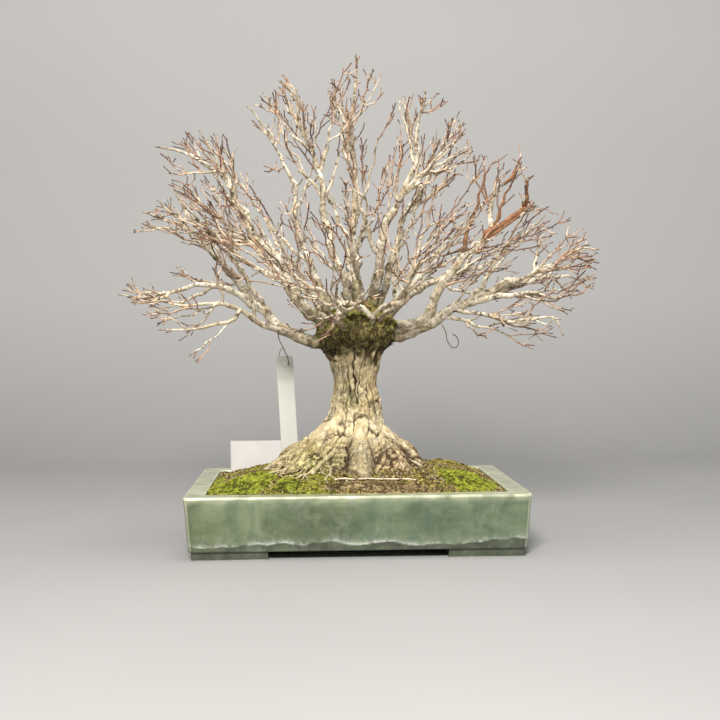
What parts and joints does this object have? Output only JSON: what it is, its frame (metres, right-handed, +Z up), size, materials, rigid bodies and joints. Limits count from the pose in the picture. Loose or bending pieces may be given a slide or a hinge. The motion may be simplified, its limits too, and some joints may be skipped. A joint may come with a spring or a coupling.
{
  "type": "bonsai tree in a pot",
  "caption": "Leafless broom-style bonsai with a flared root base, in a shallow rectangular glazed pot with soil, moss, a blank label and a plain card.",
  "frame": {"origin": "middle of the pot's footprint, on the surface it stands on", "axes": "+Z up; +X along the pot's long side, to the right seen from the tree's front; -Y towards the front"},
  "size_m": [0.5787, 0.4389, 0.5902],
  "materials": {
    "celadon_glaze": "glossy mottled grey-green glaze, paler where it breaks over the edges",
    "bark": "rough fissured pale bark",
    "soil": "loose, damp, granular",
    "pumice": "rough porous grit",
    "moss": "short soft tufts",
    "dry_moss": "short dry tufts",
    "dead_wood": "weathered",
    "label_plastic": "satin white",
    "card": "smooth uncoated card",
    "screen_plastic": "matt black",
    "wire": "dull drawn wire"
  },
  "bodies": {
    "root": {"pot": "celadon_glaze", "drain_screen_left": "screen_plastic", "drain_screen_right": "screen_plastic", "screen_clip_left": "wire", "screen_clip_right": "wire", "tie_wire_left": "wire", "tie_wire_right": "wire", "drainage_layer": "pumice", "soil": "soil", "tree": "bark", "moss_left_front": "moss", "moss_root_front": "moss", "moss_right_front": "moss", "moss_right_back": "moss", "moss_back": "moss", "dry_moss_front": "dry_moss", "fallen_twig": "dead_wood", "plant_label": "label_plastic", "name_card": "card"}
  },
  "joints": []
}
